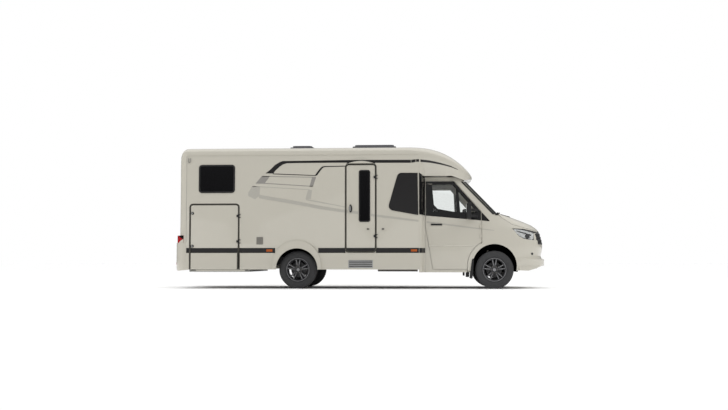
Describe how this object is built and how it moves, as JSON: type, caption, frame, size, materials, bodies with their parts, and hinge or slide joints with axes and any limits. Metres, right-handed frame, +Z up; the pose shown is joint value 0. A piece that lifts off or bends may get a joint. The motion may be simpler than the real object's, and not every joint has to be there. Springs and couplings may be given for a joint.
{
  "type": "semi-integrated motorhome",
  "caption": "Semi-integrated motorhome: long panelled living body with garage and entry doors behind a van cab, on steered and spinning wheels.",
  "frame": {"origin": "on the ground under the middle of the overall length and width", "axes": "+X forward, +Y to the left side, +Z up"},
  "size_m": [7.35, 2.55, 2.9],
  "materials": {
    "body_paint": "gloss body paint",
    "chassis_steel": "black chassis paint",
    "cast_metal": "cast",
    "exhaust_steel": "dull steel",
    "black_plastic": "grained black plastic",
    "floor_panel": "laminated panel",
    "tinted_acrylic": "dark tinted acrylic",
    "red_lens": "moulded lens",
    "amber_lens": "moulded lens",
    "step_alloy": "extruded",
    "clear_glass": "clear",
    "lamp_lens": "moulded clear lens",
    "seat_fabric": "woven",
    "dash_plastic": "grained",
    "wheel_alloy": "dark painted alloy",
    "tyre_rubber": "rubber"
  },
  "bodies": {
    "body": {"chassis_frame": "chassis_steel", "rear_axle": "chassis_steel", "engine_block": "cast_metal", "exhaust": "exhaust_steel", "tanks": "black_plastic", "living_floor": "floor_panel", "garage_floor": "floor_panel", "wheel_housings": "black_plastic", "right_wall": "body_paint", "left_wall": "body_paint", "rear_wall": "body_paint", "roof_panel": "body_paint", "roof_cap": "body_paint", "side_skirts": "body_paint", "wheel_flares": "body_paint", "rear_bumper": "body_paint", "side_windows": "tinted_acrylic", "tail_lamps": "red_lens", "marker_lamps": "amber_lens", "entry_step": "step_alloy", "door_pillars": "body_paint", "cab_frame": "body_paint", "windscreen": "clear_glass", "front_fenders": "body_paint", "front_bumper": "body_paint", "grille": "black_plastic", "headlamps": "lamp_lens", "cab_seats": "seat_fabric", "dashboard": "dash_plastic"},
    "entry_door": {"entry_door": "body_paint", "entry_door_window": "tinted_acrylic"},
    "garage_door_right": {"garage_door_right": "body_paint"},
    "garage_door_left": {"garage_door_left": "body_paint"},
    "cab_door_right": {"cab_door_right": "body_paint", "cab_glass_right": "clear_glass", "mirror_right": "black_plastic"},
    "cab_door_left": {"cab_door_left": "body_paint", "cab_glass_left": "clear_glass", "mirror_left": "black_plastic"},
    "bonnet": {"bonnet": "body_paint"},
    "roof_hatch_front": {"roof_hatch_front": "tinted_acrylic"},
    "roof_hatch_rear": {"roof_hatch_rear": "tinted_acrylic"},
    "knuckle_right": {"knuckle_right": "chassis_steel"},
    "knuckle_left": {"knuckle_left": "chassis_steel"},
    "wheel_front_right": {"rim_front_right": "wheel_alloy", "tyre_front_right": "tyre_rubber"},
    "wheel_front_left": {"rim_front_left": "wheel_alloy", "tyre_front_left": "tyre_rubber"},
    "wheel_rear_right": {"rim_rear_right": "wheel_alloy", "tyre_rear_right": "tyre_rubber"},
    "wheel_rear_left": {"rim_rear_left": "wheel_alloy", "tyre_rear_left": "tyre_rubber"}
  },
  "joints": [
    {"name": "entry_door_hinge", "type": "hinge", "parent": "body", "child": "entry_door", "pos_m": [0.341, -1.155, 1.5], "axis": [0, 0, 1], "range_deg": [0, 172]},
    {"name": "garage_door_right_hinge", "type": "hinge", "parent": "body", "child": "garage_door_right", "pos_m": [-2.348, -1.155, 1.2], "axis": [0, 0, 1], "range_deg": [0, 120]},
    {"name": "garage_door_left_hinge", "type": "hinge", "parent": "body", "child": "garage_door_left", "pos_m": [-2.348, 1.155, 1.2], "axis": [0, 0, -1], "range_deg": [0, 120]},
    {"name": "cab_door_right_hinge", "type": "hinge", "parent": "body", "child": "cab_door_right", "pos_m": [2.396, -1.01, 1.1], "axis": [0, 0, 1], "range_deg": [0, 70]},
    {"name": "cab_door_left_hinge", "type": "hinge", "parent": "body", "child": "cab_door_left", "pos_m": [2.396, 1.01, 1.1], "axis": [0, 0, -1], "range_deg": [0, 70]},
    {"name": "bonnet_hinge", "type": "hinge", "parent": "body", "child": "bonnet", "pos_m": [2.72, 0, 1.486], "axis": [0, -1, 0], "range_deg": [0, 50]},
    {"name": "roof_hatch_front_hinge", "type": "hinge", "parent": "body", "child": "roof_hatch_front", "pos_m": [-0.189, 0, 2.828], "axis": [0, -1, 0], "range_deg": [0, 50]},
    {"name": "roof_hatch_rear_hinge", "type": "hinge", "parent": "body", "child": "roof_hatch_rear", "pos_m": [-1.48, 0, 2.828], "axis": [0, -1, 0], "range_deg": [0, 50]},
    {"name": "steer_left", "type": "hinge", "parent": "body", "child": "knuckle_left", "pos_m": [2.64, 0.775, 0.25], "axis": [0, -0.2028, 0.9792], "range_deg": [-32, 32]},
    {"name": "steer_right", "type": "hinge", "parent": "body", "child": "knuckle_right", "pos_m": [2.64, -0.775, 0.25], "axis": [0, 0.2028, 0.9792], "range_deg": [-32, 32]},
    {"name": "spin_front_left", "type": "hinge", "parent": "knuckle_left", "child": "wheel_front_left", "pos_m": [2.64, 0.87, 0.37], "axis": [0, 1, 0], "continuous": true},
    {"name": "spin_front_right", "type": "hinge", "parent": "knuckle_right", "child": "wheel_front_right", "pos_m": [2.64, -0.87, 0.37], "axis": [0, 1, 0], "continuous": true},
    {"name": "spin_rear_left", "type": "hinge", "parent": "body", "child": "wheel_rear_left", "pos_m": [-1.2, 0.88, 0.37], "axis": [0, 1, 0], "continuous": true},
    {"name": "spin_rear_right", "type": "hinge", "parent": "body", "child": "wheel_rear_right", "pos_m": [-1.2, -0.88, 0.37], "axis": [0, 1, 0], "continuous": true}
  ],
  "couplings": [
    {"joint": "steer_right", "follows": "steer_left", "ratio": 1}
  ]
}
